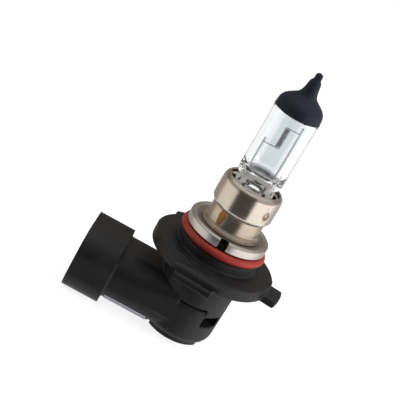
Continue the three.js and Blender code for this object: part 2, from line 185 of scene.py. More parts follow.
def tube_geo(path, radius, sides=14, caps=True):
    """Round wire along points, radius one number or one per point."""
    P = np.array(path, float)
    n = len(P)
    R = np.full(n, radius, float) if np.isscalar(radius) else np.array(radius, float)
    T = np.gradient(P, axis=0)
    T /= np.linalg.norm(T, axis=1)[:, None]
    ref = np.array([0, 0, 1.0]) if abs(T[0][2]) < 0.9 else np.array([1.0, 0, 0])
    N = np.cross(T[0], ref)
    N /= np.linalg.norm(N)
    V, F = [], []
    for i in range(n):
        N = N - T[i] * (N @ T[i])
        N /= np.linalg.norm(N)
        B = np.cross(T[i], N)
        for k in range(sides):
            a = 2 * math.pi * k / sides
            V.append(P[i] + R[i] * (math.cos(a) * N + math.sin(a) * B))
    for i in range(n - 1):
        for k in range(sides):
            F.append([i * sides + k, i * sides + (k + 1) % sides, (i + 1) * sides + (k + 1) % sides, (i + 1) * sides + k])
    if caps:
        for i, s in ((0, -1), (n - 1, 1)):
            V.append(P[i] + s * T[i] * R[i] * 0.35)
            c = len(V) - 1
            for k in range(sides):
                F.append([i * sides + k, i * sides + (k + 1) % sides, c])
    return V, F


def round_rect(w, h, r, n=8):
    s = []
    for cx, cy, a0 in ((w / 2 - r, h / 2 - r, 0), (-w / 2 + r, h / 2 - r, 90), (-w / 2 + r, -h / 2 + r, 180), (w / 2 - r, -h / 2 + r, 270)):
        for k in range(n + 1):
            a = math.radians(a0 + 90 * k / n)
            s.append((cx + r * math.cos(a), cy + r * math.sin(a)))
    return s


def stack_geo(sections, cap0=True, cap1=True):
    """Loft through sections, each a list of 3D points of equal count."""
    m = len(sections[0])
    V = [p for s in sections for p in s]
    F = []
    for i in range(len(sections) - 1):
        for k in range(m):
            F.append([i * m + k, i * m + (k + 1) % m, (i + 1) * m + (k + 1) % m, (i + 1) * m + k])
    if cap0:
        F.append(list(range(m))[::-1])
    if cap1:
        F.append([(len(sections) - 1) * m + k for k in range(m)])
    return V, F


def slab_geo(outline, z0, z1, edge=0.15, n=3, to3=lambda x, y, z: (x, y, z)):
    """Plate with rounded edges: outline in 2D, pulled in by edge at both faces."""
    pts = np.array(outline, float)
    area = 0.5 * sum(pts[i - 1][0] * pts[i][1] - pts[i][0] * pts[i - 1][1] for i in range(len(pts)))
    if area < 0:
        pts = pts[::-1]
    prev, nxt = np.roll(pts, 1, 0), np.roll(pts, -1, 0)
    d1, d2 = pts - prev, nxt - pts
    d1 /= np.linalg.norm(d1, axis=1)[:, None] + 1e-12
    d2 /= np.linalg.norm(d2, axis=1)[:, None] + 1e-12
    n1, n2 = np.stack([d1[:, 1], -d1[:, 0]], 1), np.stack([d2[:, 1], -d2[:, 0]], 1)
    m = n1 + n2
    m /= (np.linalg.norm(m, axis=1)[:, None] + 1e-12)
    m /= np.maximum((m * n1).sum(1), 0.5)[:, None]
    secs = []
    for k in range(n + 1):
        a = math.pi / 2 * k / n
        q = pts - m * edge * (1 - math.sin(a))
        secs.append([to3(x, y, z0 + edge * (1 - math.cos(a))) for x, y in q])
    for k in range(n, -1, -1):
        a = math.pi / 2 * k / n
        q = pts - m * edge * (1 - math.sin(a))
        secs.append([to3(x, y, z1 - edge * (1 - math.cos(a))) for x, y in q])
    return stack_geo(secs)


def solid_from(name, geo, sharp=40):
    return make(name, geo[0], geo[1], sharp=sharp)


def baked(ob, name=None):
    """The object with its modifiers applied, as plain mesh."""
    bpy.context.view_layer.update()
    dg = bpy.context.evaluated_depsgraph_get()
    me = bpy.data.meshes.new_from_object(ob.evaluated_get(dg))
    old = ob.data
    ob.modifiers.clear()
    ob.data = me
    if old.users == 0:
        bpy.data.meshes.remove(old)
    return ob


def cut(ob, cutter, op="DIFFERENCE"):
    m = ob.modifiers.new("cut", "BOOLEAN")
    m.operation, m.solver, m.object = op, "EXACT", cutter
    baked(ob)
    bpy.data.objects.remove(cutter)
    return ob


def rot_geo(geo, az):
    c, s = math.cos(math.radians(az)), math.sin(math.radians(az))
    return [(x * c - y * s, x * s + y * c, z) for x, y, z in geo[0]], geo[1]


def shift_geo(geo, d):
    return [(x + d[0], y + d[1], z + d[2]) for x, y, z in geo[0]], geo[1]


def box_geo(x0, x1, y0, y1, z0, z1):
    V = [(x, y, z) for x in (x0, x1) for y in (y0, y1) for z in (z0, z1)]
    return V, [[0, 1, 3, 2], [4, 6, 7, 5], [0, 4, 5, 1], [2, 3, 7, 6], [0, 2, 6, 4], [1, 5, 7, 3]]


def soft_edges(ob, width=0.12, seg=2, angle=35):
    b = ob.modifiers.new("edge", "BEVEL")
    b.width, b.segments, b.limit_method, b.angle_limit = width * MM, seg, "ANGLE", math.radians(angle)
    b.use_clamp_overlap, b.harden_normals = True, False
    baked(ob)
    ob.data.shade_smooth()
    ob.data.set_sharp_from_angle(angle=math.radians(50))
    return ob


# ------------------------------------------------------------------ materials
class Mat:
    """A small builder for node materials; coordinates are the object's own, in metres."""

    def __init__(self, name):
        self.m = bpy.data.materials.new(name)
        self.m.use_nodes = True
        self.t = self.m.node_tree
        self.t.nodes.clear()
        self.out = self.node("ShaderNodeOutputMaterial")
        self.p = self.node("ShaderNodeBsdfPrincipled")
        self.t.links.new(self.p.outputs[0], self.out.inputs[0])
        self.co = self.node("ShaderNodeTexCoord").outputs["Object"]

    def node(self, kind, **kw):
        n = self.t.nodes.new(kind)
        for k, v in kw.items():
            setattr(n, k, v)
        return n

    def link(self, a, b):
        self.t.links.new(a, b)

    def put(self, **kw):
        for k, v in kw.items():
            s = self.p.inputs[k.replace("_", " ")]
            if hasattr(v, "links") or isinstance(v, bpy.types.NodeSocket):
                self.link(v, s)
            else:
                s.default_value = v
        return self

    def stretch(self, scale):
        n = self.node("ShaderNodeMapping")
        n.inputs["Scale"].default_value = scale
        self.link(self.co, n.inputs[0])
        return n.outputs[0]

    def noise(self, scale, detail=4, rough=0.55, co=None, dist=0.0):
        n = self.node("ShaderNodeTexNoise")
        n.inputs["Scale"].default_value = scale
        n.inputs["Detail"].default_value = detail
        n.inputs["Roughness"].default_value = rough
        n.inputs["Distortion"].default_value = dist
        self.link(co or self.co, n.inputs["Vector"])
        return n.outputs[0]

    def ramp(self, fac, *stops):
        n = self.node("ShaderNodeValToRGB")
        e = n.color_ramp.elements
        while len(e) < len(stops):
            e.new(0.5)
        for x, (pos, col) in zip(e, stops):
            x.position = pos
            x.color = (*col, 1) if len(col) == 3 else col
        self.link(fac, n.inputs[0])
        return n.outputs[0]

    def math(self, op, a, b=None, clamp=False):
        n = self.node("ShaderNodeMath", operation=op, use_clamp=clamp)
        for i, v in enumerate((a, b)):
            if v is None:
                continue
            if isinstance(v, (int, float)):
                n.inputs[i].default_value = v
            else:
                self.link(v, n.inputs[i])
        return n.outputs[0]

    def range(self, v, a, b, c, d, smooth=False):
        n = self.node("ShaderNodeMapRange")
        if smooth:
            n.interpolation_type = "SMOOTHSTEP"
        self.link(v, n.inputs[0])
        for i, x in enumerate((a, b, c, d)):
            n.inputs[i + 1].default_value = x
        return n.outputs[0]

    def mix(self, fac, a, b, blend="MIX"):
        n = self.node("ShaderNodeMix", data_type="RGBA", blend_type=blend)
        for s, v in ((n.inputs[0], fac), (n.inputs[6], a), (n.inputs[7], b)):
            if isinstance(v, bpy.types.NodeSocket):
                self.link(v, s)
            elif isinstance(v, (int, float)):
                s.default_value = v
            else:
                s.default_value = (*v, 1)
        return n.outputs[2]

    def bump(self, height, strength, dist, normal=None):
        n = self.node("ShaderNodeBump")
        n.inputs["Strength"].default_value = strength
        n.inputs["Distance"].default_value = dist
        self.link(height, n.inputs["Height"])
        if normal is not None:
            self.link(normal, n.inputs["Normal"])
        return n.outputs[0]

    def xyz(self):
        n = self.node("ShaderNodeSeparateXYZ")
        self.link(self.co, n.inputs[0])
        return n.outputs

    def blob(self, at, size, soft=0.5, wobble=0.25, scale=900):
        """1 inside an irregular spot round a point, 0 outside; mm."""
        n = self.node("ShaderNodeVectorMath", operation="SUBTRACT")
        self.link(self.co, n.inputs[0])
        n.inputs[1].default_value = tuple(v * MM for v in at)
        m = self.node("ShaderNodeVectorMath", operation="DIVIDE")
        self.link(n.outputs[0], m.inputs[0])
        m.inputs[1].default_value = tuple(v * MM for v in size)
        l = self.node("ShaderNodeVectorMath", operation="LENGTH")
        self.link(m.outputs[0], l.inputs[0])
        w = self.math("MULTIPLY", self.math("SUBTRACT", self.noise(scale, 3), 0.5), wobble * 2)
        d = self.math("ADD", l.outputs["Value"], w)
        return self.range(d, 1 - soft, 1 + soft, 1, 0, smooth=True)


def plastic(name, dark=(0.0075, 0.0077, 0.0085), light=(0.0145, 0.0147, 0.0155), rough=(0.42, 0.58), grain=0.25):
    m = Mat(name)
    cloud = m.noise(260, 5, 0.6)
    fine = m.noise(5200, 3, 0.6)
    col = m.ramp(cloud, (0.3, dark), (0.7, light))
    speck = m.range(m.noise(9000, 1, 0.4), 0.70, 0.80, 0, 1)
    col = m.mix(m.math("MULTIPLY", speck, 0.25), col, (0.07, 0.07, 0.075))
    r = m.range(m.math("ADD", m.math("MULTIPLY", cloud, 0.6), m.math("MULTIPLY", fine, 0.4)), 0.3, 0.7, rough[0], rough[1])
    flow = m.noise(70, 3, 0.5, m.stretch((1, 1, 3.5)))
    b = m.bump(flow, 0.25, 0.00006)
    b = m.bump(fine, grain, 0.00002, b)
    m.put(Base_Color=col, Roughness=r, Normal=b, Specular_IOR_Level=0.36, IOR=1.5)
    return m.m


def sheet_metal(name, base, base2, rough=(0.16, 0.3), spots=(), tint=None, turned=True, bump=0.2, edge=None):
    """Plated steel: rolled grain round the axis, cloudy plating, small pits, spots as (at, size, colour, strength,
    soft): heat marks, and on the ring and clip also painted shade.
    """
    m = Mat(name)
    rolled = m.noise(240, 4, 0.6, m.stretch((1, 1, 16)) if turned else m.stretch((1, 14, 1)))
    cloud = m.noise(330, 4, 0.55)
    fine = m.noise(3800, 3, 0.6)
    pits = m.range(m.noise(2600, 2, 0.5), 0.69, 0.76, 0, 1)
    col = m.ramp(cloud, (0.28, base), (0.72, base2))
    col = m.mix(m.math("MULTIPLY", pits, 0.35), col, tuple(0.45 * c for c in base))
    r = m.range(m.math("ADD", m.math("MULTIPLY", rolled, 0.55), m.math("MULTIPLY", cloud, 0.45)), 0.3, 0.7, rough[0], rough[1])
    for at, size, colour, strength, soft in spots:
        f = m.math("MULTIPLY", m.blob(at, size, soft, 0.32 if size[0] < 4 else 0.012), strength)
        col = m.mix(f, col, colour)
        r = m.math("ADD", r, m.math("MULTIPLY", f, 0.15), clamp=True)
    b = m.bump(rolled, bump, 0.00003)
    b = m.bump(fine, bump * 0.5, 0.00001, b)
    b = m.bump(pits, 0.15, 0.00001, b)
    m.put(Base_Color=col, Roughness=r, Metallic=1.0, Normal=b)
    return m.m


def glass_mat():
    m = Mat("clear_quartz")
    draw = m.noise(120, 2, 0.4, m.stretch((4, 4, 0.25)))
    r = m.range(m.noise(420, 3, 0.5), 0.4, 0.75, 0.0, 0.012)
    b = m.bump(draw, 0.12, 0.00004)
    # glass tint follows the facing angle: painted reflection bands, blue-grey at the centre, near white in a band round
    # it, darkening to grey towards the edges
    lw = m.node("ShaderNodeLayerWeight")
    lw.inputs["Blend"].default_value = 0.5
    col = m.ramp(lw.outputs["Facing"], (0.0, (0.755, 0.79, 0.805)), (0.105, (0.765, 0.80, 0.815)), (0.135, (0.945, 0.952, 0.96)), (0.2, (0.957, 0.963, 0.97)), (0.32, (0.94, 0.95, 0.956)), (0.40, (0.888, 0.902, 0.912)), (0.5, (0.832, 0.85, 0.862)), (0.64, (0.82, 0.84, 0.852)), (0.97, (0.71, 0.73, 0.745)))
    m.put(Base_Color=col, Roughness=r, Normal=b, IOR=1.46, Transmission_Weight=1.0, Specular_IOR_Level=0.5)
    return m.m


def coating_mat():
    m = Mat("blue_black_coating")
    cloud = m.noise(210, 5, 0.6)
    col = m.ramp(cloud, (0.3, (0.010, 0.0128, 0.021)), (0.7, (0.0165, 0.0205, 0.032)))
    fine = m.noise(4200, 3, 0.6)
    r = m.range(m.math("ADD", m.math("MULTIPLY", cloud, 0.5), m.math("MULTIPLY", fine, 0.5)), 0.3, 0.7, 0.46, 0.6)
    b = m.bump(fine, 0.25, 0.00002)
    b = m.bump(m.noise(500, 2, 0.5), 0.12, 0.00005, b)
    m.put(Base_Color=col, Roughness=r, Normal=b, Specular_IOR_Level=0.22)
    return m.m


def rubber_mat():
    m = Mat("red_silicone")
    cloud = m.noise(300, 4, 0.6)
    fine = m.noise(4200, 3, 0.6)
    col = m.ramp(cloud, (0.25, (0.22, 0.018, 0.012)), (0.75, (0.31, 0.03, 0.021)))
    dust = m.range(m.noise(1500, 4, 0.65), 0.6, 0.78, 0, 0.35)
    col = m.mix(dust, col, (0.5, 0.25, 0.22))
    r = m.range(fine, 0.3, 0.7, 0.34, 0.5)
    b = m.bump(fine, 0.25, 0.00003)
    m.put(Base_Color=col, Roughness=r, Normal=b, Subsurface_Weight=0.06, Subsurface_Radius=(0.001, 0.0003, 0.0002), Specular_IOR_Level=0.45)
    return m.m


def label_mat():
    m = Mat("blank_label")
    fibre = m.noise(1600, 5, 0.7, m.stretch((1, 2.5, 2.5)))
    cloud = m.noise(220, 3, 0.5)
    col = m.ramp(cloud, (0.3, (0.74, 0.74, 0.84)), (0.7, (0.82, 0.82, 0.9)))
    r = m.range(fibre, 0.3, 0.7, 0.32, 0.5)
    m.put(Base_Color=col, Roughness=r, Normal=m.bump(fibre, 0.15, 0.00002), Specular_IOR_Level=0.5)
    return m.m


def wire_mat(name, a, b_, rough=(0.25, 0.4), tintz=None):
    m = Mat(name)
    n = m.noise(1500, 4, 0.6, m.stretch((1, 1, 0.15)))
    fine = m.noise(9000, 2, 0.5)
    col = m.ramp(n, (0.3, a), (0.7, b_))
    r = m.range(n, 0.3, 0.7, rough[0], rough[1])
    m.put(Base_Color=col, Roughness=r, Metallic=1.0, Normal=m.bump(fine, 0.2, 0.00001))
    return m.m


def dress(ob, mat, body="root", rep=()):
    ob.data.materials.clear()
    ob.data.materials.append(mat)
    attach(ob, body)
    if rep:
        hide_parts(*rep)
    return ob


# ------------------------------------------------------------------ camera, fitted to the viewing angle
D, H, TH, AL, DE, PSI = 240.88, 105.15, 0.3774, 0.0411, 0.0137, math.radians(5.0)
w = np.array([-math.sin(AL) * math.cos(TH), math.cos(AL) * math.cos(TH), -math.sin(TH)])
r0 = np.array([math.cos(AL), math.sin(AL), 0.0])
d0 = np.cross(w, r0)
ru = math.cos(DE) * r0 + math.sin(DE) * d0
dv = -math.sin(DE) * r0 + math.cos(DE) * d0
ximg, ydown = 0.8616 * ru - 0.5075 * dv, 0.5075 * ru + 0.8616 * dv
c5, s5 = math.cos(PSI), math.sin(PSI)
spin = lambda q: np.array([q[0] * c5 + q[1] * s5, -q[0] * s5 + q[1] * c5, q[2]])
X, Y, Z = spin(ximg), -spin(ydown), -spin(w)
X /= np.linalg.norm(X)
Z /= np.linalg.norm(Z)
Y = np.cross(Z, X)
where = spin(np.array([0.0, -D, H])) * MM
cam = bpy.data.cameras.new("camera")
cam.lens, cam.sensor_width, cam.sensor_fit = 93.907, 36.0, "HORIZONTAL"
cam.clip_start, cam.clip_end = 0.01, 20
cam_ob = bpy.data.objects.new("camera", cam)
SCENE.collection.objects.link(cam_ob)
cam_ob.matrix_world = Matrix([[X[0], Y[0], Z[0], where[0]], [X[1], Y[1], Z[1], where[1]], [X[2], Y[2], Z[2], where[2]], [0, 0, 0, 1]])
SCENE.camera = cam_ob


# ------------------------------------------------------------------ floor and light
floor = make("floor", [(-3000, -3000, FLOOR_Z), (3000, -3000, FLOOR_Z), (3000, 3000, FLOOR_Z), (-3000, 3000, FLOOR_Z)], [[0, 1, 2, 3]], smooth=False)
fm = Mat("floor_white")
fm.put(Base_Color=fm.ramp(fm.noise(30, 3), (0.3, (0.24, 0.24, 0.24)), (0.7, (0.26, 0.26, 0.26))), Roughness=0.75, Specular_IOR_Level=0.3,
       Emission_Color=(1, 1, 1, 1), Emission_Strength=0.84)
floor.data.materials.append(fm.m)
floor.visible_glossy = False
floor.visible_diffuse = False

SCENE.view_settings.view_transform = "Standard"
world = bpy.data.worlds.new("studio")
SCENE.world = world
world.use_nodes = True
wt = world.node_tree
wt.nodes.clear()
wo = wt.nodes.new("ShaderNodeOutputWorld")
lp = wt.nodes.new("ShaderNodeLightPath")
tc = wt.nodes.new("ShaderNodeTexCoord")
mp = wt.nodes.new("ShaderNodeMapping")
mp.inputs["Rotation"].default_value = (0, 0, PSI)
wt.links.new(tc.outputs["Generated"], mp.inputs[0])
sx = wt.nodes.new("ShaderNodeSeparateXYZ")
wt.links.new(mp.outputs[0], sx.inputs[0])
neg = wt.nodes.new("ShaderNodeMath"); neg.operation = "MULTIPLY"; neg.inputs[1].default_value = -1
wt.links.new(sx.outputs[1], neg.inputs[0])
at2 = wt.nodes.new("ShaderNodeMath"); at2.operation = "ARCTAN2"
wt.links.new(sx.outputs[0], at2.inputs[0])
wt.links.new(neg.outputs[0], at2.inputs[1])
mr = wt.nodes.new("ShaderNodeMapRange")
mr.inputs[1].default_value, mr.inputs[2].default_value = -math.pi, math.pi
wt.links.new(at2.outputs[0], mr.inputs[0])


def env_ramp(stops):
    n = wt.nodes.new("ShaderNodeValToRGB")
    n.color_ramp.interpolation = "EASE"
    e = n.color_ramp.elements
    while len(e) < len(stops):
        e.new(0.5)
    for x, (deg_, col) in zip(e, stops):
        x.position = (deg_ + 180) / 360
        x.color = (*col, 1)
    return n


# walls of the light tent as the bright metal sees them, by direction round the lamp: 0 faces the camera
sides = env_ramp([(-180, (0.42, 0.38, 0.33)), (-116, (0.36, 0.32, 0.28)), (-92, (0.86, 0.79, 0.71)), (-44, (0.88, 0.81, 0.73)),
                  (-32, (0.062, 0.057, 0.052)), (30, (0.07, 0.064, 0.058)), (42, (1.28, 1.22, 1.16)), (104, (1.28, 1.22, 1.17)), (128, (0.62, 0.57, 0.55)), (180, (0.42, 0.38, 0.33))])
wt.links.new(mr.outputs[0], sides.inputs[0])


def wnode(kind, **kw):
    n = wt.nodes.new(kind)
    for k, v in kw.items():
        setattr(n, k, v)
    return n


def wstep(v, a, b):
    n = wnode("ShaderNodeMapRange", interpolation_type="SMOOTHSTEP")
    n.inputs[1].default_value, n.inputs[2].default_value = a, b
    wt.links.new(v, n.inputs[0])
    return n.outputs[0]


def wmix(fac, a, b, blend="MIX"):
    n = wnode("ShaderNodeMix", data_type="RGBA", blend_type=blend)
    for sck, v in ((n.inputs[0], fac), (n.inputs[6], a), (n.inputs[7], b)):
        if isinstance(v, bpy.types.NodeSocket):
            wt.links.new(v, sck)
        elif isinstance(v, (int, float)):
            sck.default_value = v
        else:
            sck.default_value = (*v, 1)
    return n.outputs[2]


up = sx.outputs[2]
down = wnode("ShaderNodeMath", operation="MULTIPLY")
down.inputs[1].default_value = -1
wt.links.new(up, down.inputs[0])
upper = wmix(1.0, wmix(1.0, sides.outputs[0], (0.34, 0.33, 0.32), "MULTIPLY"), (0.075, 0.066, 0.056), "ADD")
room = wmix(wstep(up, 0.0, 0.2), sides.outputs[0], upper)
room = wmix(wstep(up, 0.5, 0.85), room, (0.62, 0.60, 0.575))
room = wmix(wstep(down.outputs[0], 0.5, 0.68), room, (0.95, 0.95, 0.95))
gloss = wt.nodes.new("ShaderNodeBackground")
wt.links.new(room, gloss.inputs[0])
gloss.inputs[1].default_value = 1.0
flat = wt.nodes.new("ShaderNodeBackground")
updown = wt.nodes.new("ShaderNodeValToRGB")
updown.color_ramp.elements[0].position, updown.color_ramp.elements[0].color = 0.40, (0.16, 0.16, 0.165, 1)
updown.color_ramp.elements[1].position, updown.color_ramp.elements[1].color = 0.62, (0.98, 0.99, 1.0, 1)
half = wt.nodes.new("ShaderNodeMapRange")
half.inputs[1].default_value, half.inputs[2].default_value = -1, 1
wt.links.new(sx.outputs[2], half.inputs[0])
wt.links.new(half.outputs[0], updown.inputs[0])
wt.links.new(updown.outputs[0], flat.inputs[0])
flat.inputs[1].default_value = 0.50
white = wt.nodes.new("ShaderNodeBackground")
white.inputs[0].default_value = (1, 1, 1, 1)
white.inputs[1].default_value = 1.05
m1 = wt.nodes.new("ShaderNodeMixShader")
wt.links.new(lp.outputs["Is Glossy Ray"], m1.inputs[0])
wt.links.new(flat.outputs[0], m1.inputs[1])
wt.links.new(gloss.outputs[0], m1.inputs[2])
mx = wt.nodes.new("ShaderNodeMath"); mx.operation = "MAXIMUM"
wt.links.new(lp.outputs["Is Camera Ray"], mx.inputs[0])
wt.links.new(lp.outputs["Is Transmission Ray"], mx.inputs[1])
m2 = wt.nodes.new("ShaderNodeMixShader")
wt.links.new(mx.outputs[0], m2.inputs[0])
wt.links.new(m1.outputs[0], m2.inputs[1])
wt.links.new(white.outputs[0], m2.inputs[2])
wt.links.new(m2.outputs[0], wo.inputs[0])


def lamp(name, at, aim, size, power, colour=(1, 1, 1), size_y=None):
    l = bpy.data.lights.new(name, "AREA")
    l.energy, l.color = power, colour
    l.shape, l.size, l.size_y = "RECTANGLE", size, size_y or size
    o = bpy.data.objects.new(name, l)
    SCENE.collection.objects.link(o)
    o.location = at
    o.visible_glossy = False
    o.rotation_euler = (Vector(aim) - Vector(at)).to_track_quat("-Z", "Y").to_euler()
    return o


lamp("key_right", (0.46, -0.10, 0.14), (0, 0, 0.0), 0.28, 3.7, (1.0, 0.985, 0.97), 0.4)
lamp("fill_left", (-0.44, -0.06, 0.25), (0, 0, 0.0), 0.3, 0.7, (0.97, 0.985, 1.0))
lamp("overhead", (0.05, 0.1, 0.6), (0, 0, 0.0), 0.5, 1.15)

# ------------------------------------------------------------------ metals and other finishes
NI_A, NI_B = (0.66, 0.61, 0.55), (0.74, 0.69, 0.63)
M_PLASTIC = plastic("matt_black_moulding")
M_GLASS = glass_mat()
M_COAT = coating_mat()
M_RUBBER = rubber_mat()
M_LABEL = label_mat()
M_TUNGSTEN = wire_mat("tungsten_wire", (0.25, 0.25, 0.26), (0.36, 0.35, 0.36), (0.3, 0.45))
M_MOLY = wire_mat("molybdenum_post", (0.42, 0.41, 0.40), (0.55, 0.54, 0.53))
M_LEAD = wire_mat("nickel_lead", (0.55, 0.52, 0.48), (0.66, 0.62, 0.58))
M_BLADE = sheet_metal("tinned_blade", (0.66, 0.62, 0.55), (0.74, 0.70, 0.62), (0.22, 0.36), turned=False)


def pol(r, az, z):
    a = math.radians(az)
    return (r * math.cos(a), r * math.sin(a), z)


M_COLLAR = sheet_metal("collar_nickel", NI_A, NI_B, (0.14, 0.26), [
    (pol(COLLAR_R, -45.5, 16.5), (0.85, 0.85, 1.25), (0.15, 0.07, 0.03), 0.95, 0.45),
    (pol(COLLAR_R, -45.5, 16.7), (0.36, 0.36, 0.6), (0.75, 0.68, 0.64), 0.9, 0.3),
    (pol(COLLAR_R, 134.5, 16.5), (0.85, 0.85, 1.25), (0.30, 0.15, 0.06), 0.8, 0.45),
    (pol(COLLAR_R, 74.5, 16.5), (0.85, 0.85, 1.25), (0.30, 0.15, 0.06), 0.8, 0.45),
    (pol(COLLAR_R, -50.5, 18.75), (0.2, 0.2, 0.2), (0.3, 0.25, 0.3), 0.7, 0.3)])
M_SLEEVE = sheet_metal("sleeve_nickel", (0.50, 0.435, 0.36), (0.60, 0.53, 0.445), (0.2, 0.34), [
    (pol(7.05, -120.5, 11.2), (1.0, 1.0, 2.5), (0.20, 0.075, 0.018), 0.92, 0.3),
    (pol(7.05, -120.5, 11.3), (0.5, 0.5, 1.7), (0.46, 0.23, 0.06), 0.8, 0.35),
    (pol(7.05, 60, 11.2), (1.1, 1.1, 2.3), (0.32, 0.15, 0.04), 0.85, 0.35)])
# ring: the dished face inside r 9.25 is coloured darker and browner; the black spot in the slot at -91.5 degrees is
# painted shade on the slot's back face
M_RING = sheet_metal("ring_plate_satin", (0.64, 0.605, 0.59), (0.73, 0.695, 0.68), (0.26, 0.42), [
    ((0, 0, RING_HI[2] - 0.34), (9.25, 9.25, 1.0), (0.40, 0.355, 0.30), 0.85, 0.04),
    (pol(10.05, -91.5, RING_HI[2] - 0.5), (1.2, 0.32, 0.95), (0.006, 0.006, 0.006), 1.0, 0.06)])
# clip: the dark patch over the window at z 20.95 is painted shade on the window rim; the two small dark dots at x ±2.8
# below it are painted shade with no geometry under them
M_CLIP = sheet_metal("clip_nickel", (0.86, 0.84, 0.82), (0.92, 0.90, 0.88), (0.34, 0.5), [
    ((0, 0, 20.95), (2.9, 8, 1.42), (0.09, 0.08, 0.07), 0.8, 0.1),
    ((2.8, 0, 19.8), (0.5, 6, 0.5), (0.05, 0.045, 0.04), 0.85, 0.4),
    ((-2.8, 0, 19.8), (0.5, 6, 0.5), (0.05, 0.045, 0.04), 0.85, 0.4)], turned=False)
next(n for n in M_CLIP.node_tree.nodes if n.type == "BSDF_PRINCIPLED").inputs["Metallic"].default_value = 0.5

# ------------------------------------------------------------------ glass envelope
dome = [(5.97, 41.32), (5.94, 42.29), (5.74, 43.26), (5.12, 44.23), (3.88, 45.19), (2.56, 46.16), (2.02, 47.12), (1.76, 48.08),
        (1.61, 49.03), (1.42, 49.95), (1.08, 50.45), (0.93, 50.85), (0.93, 51.3), (0.90, 51.7), (0.74, 52.02), (0.42, 52.26), (0, TIP_Z)]
outer_dome = catmull([(GLASS_R, CAP_EDGE_Z)] + dome, 5)
outer_dome = [(max(p[0], 0.0), min(p[1], TIP_Z)) for p in outer_dome]
SEG = 96


def section(a, b, p, z, seg=SEG, boss=0.0):
    """Super-ellipse in the plane z; boss is the height of the pressed lens on both flat faces."""
    out = []
    for k in range(seg):
        t = 2 * math.pi * k / seg
        c, s = math.cos(t), math.sin(t)
        q = (abs(c / a) ** p + abs(s / b) ** p) ** (-1 / p)
        x, y = q * c, q * s
        if boss and abs(x) < 2.0:
            y += math.copysign(boss * (1 - (x / 2.0) ** 2) ** 0.7, y)
        out.append((x, y, z))
    return out


PINCH_A, PINCH_B, FLAT_A = 4.5, 1.65, 5.95
Z_TAPER0, Z_TAPER1, Z_FLAT, Z_TUBE = 20.5, 22.85, 23.25, 26.5


def envelope(wall):
    secs = []
    ra = GLASS_R - wall
    if wall == 0:
        secs.append(section(PINCH_A - 0.2, PINCH_B - 0.2, 6, GLASS_LO[2]))
        lens = lambda z: 0.55 * max(0.0, 1 - ((z - 20.95) / 0.95) ** 2) ** 0.6
        for z in (GLASS_LO[2] + 0.25, 12, 15, 18, 19.9, 20.02, 20.15, 20.35, Z_TAPER0):
            secs.append(section(PINCH_A, PINCH_B, 6, z, boss=lens(z)))
        for k in range(1, 17):
            t = k / 16
            e = t * t * (3 - 2 * t)
            z = Z_TAPER0 + (Z_TAPER1 - Z_TAPER0) * t
            secs.append(section(PINCH_A + (FLAT_A - PINCH_A) * e, PINCH_B + 0.04 * e, 6 - e, z, boss=lens(z)))
        secs.append(section(FLAT_A, PINCH_B + 0.05, 4.6, Z_FLAT))
        for k in range(1, 15):
            t = k / 14
            z = Z_FLAT + (Z_TUBE - Z_FLAT) * (1 - math.cos(t * math.pi / 2))
            b = PINCH_B + (ra - PINCH_B) * math.sin(t * math.pi / 2)
            secs.append(section(FLAT_A + (ra - FLAT_A) * t, b, 4.6 - 2.6 * min(1, t * 1.6) ** 0.8, z))
        secs += [section(ra, ra, 2, z) for z in (27.0, 28, 30, 34, 38, 40.6, CAP_EDGE_Z - 0.12)]
        secs.append(section(ra - 0.05, ra - 0.05, 2, CAP_EDGE_Z - 0.06))
        secs.append(section(ra - 0.14, ra - 0.14, 2, CAP_EDGE_Z))
        ins = []
        P = np.array(outer_dome)
        T = np.gradient(P, axis=0)
        T /= np.linalg.norm(T, axis=1)[:, None] + 1e-9
        N = np.stack([-T[:, 1], T[:, 0]], 1)
        Q = P + N * 0.14
        for x, z in Q[2:]:
            if x > 0.12 and (not ins or z > ins[-1][1] + 0.02):
                ins.append((x, z))
        secs += [section(x, x, 2, z) for x, z in ins]
        secs.append(section(0.03, 0.03, 2, ins[-1][1] + 0.03))
    else:
        # floor of the bulb space: a low hill pushed up by the pinch, rounded into the wall
        for r_, z_ in ((0.25, 25.05), (1.0, 25.02), (1.9, 24.9), (2.8, 24.74), (3.5, 24.6), (4.05, 24.56), (4.5, 24.68), (4.82, 25.0), (4.96, 25.5)):
            flat_ = 0.80 + 0.2 * max(0, (z_ - 24.4) / 1.1 if r_ > 4 else 0)
            secs.append(section(r_, r_ * min(flat_, 1.0), 2, z_))
        secs += [section(ra, ra, 2, z) for z in (26.3, 27.2, 30, 34, 38, 41, 42.0)]
        for k in range(1, 8):
            t = k / 8 * math.pi / 2
            secs.append(section(ra * math.cos(t), ra * math.cos(t), 2, 42.0 + 2.7 * math.sin(t)))
        secs.append(section(0.1, 0.1, 2, 44.7))
    return stack_geo(secs)


outer, inner = envelope(0), envelope(1.0)


def facing(geo, outward):
    """One closed shell, its faces turned out or in."""
    me = bpy.data.meshes.new("tmp")
    me.from_pydata([tuple(map(float, p)) for p in geo[0]], [], geo[1])
    bm = bmesh.new()
    bm.from_mesh(me)
    bmesh.ops.recalc_face_normals(bm, faces=bm.faces)
    if bm.calc_volume(signed=True) * (1 if outward else -1) < 0:
        bmesh.ops.reverse_faces(bm, faces=bm.faces)
    V = [tuple(v.co) for v in bm.verts]
    F = [[v.index for v in f.verts] for f in bm.faces]
    bm.free()
    bpy.data.meshes.remove(me)
    return V, F


V, F = join_geo(facing(outer, True), facing(inner, False))
me = bpy.data.meshes.new("glass_envelope")
me.from_pydata([tuple(c * MM for c in p) for p in V], [], F)
me.shade_smooth()
glass = bpy.data.objects.new("glass_envelope", me)
SCENE.collection.objects.link(glass)
dress(glass, M_GLASS, rep=["glass_capsule"])

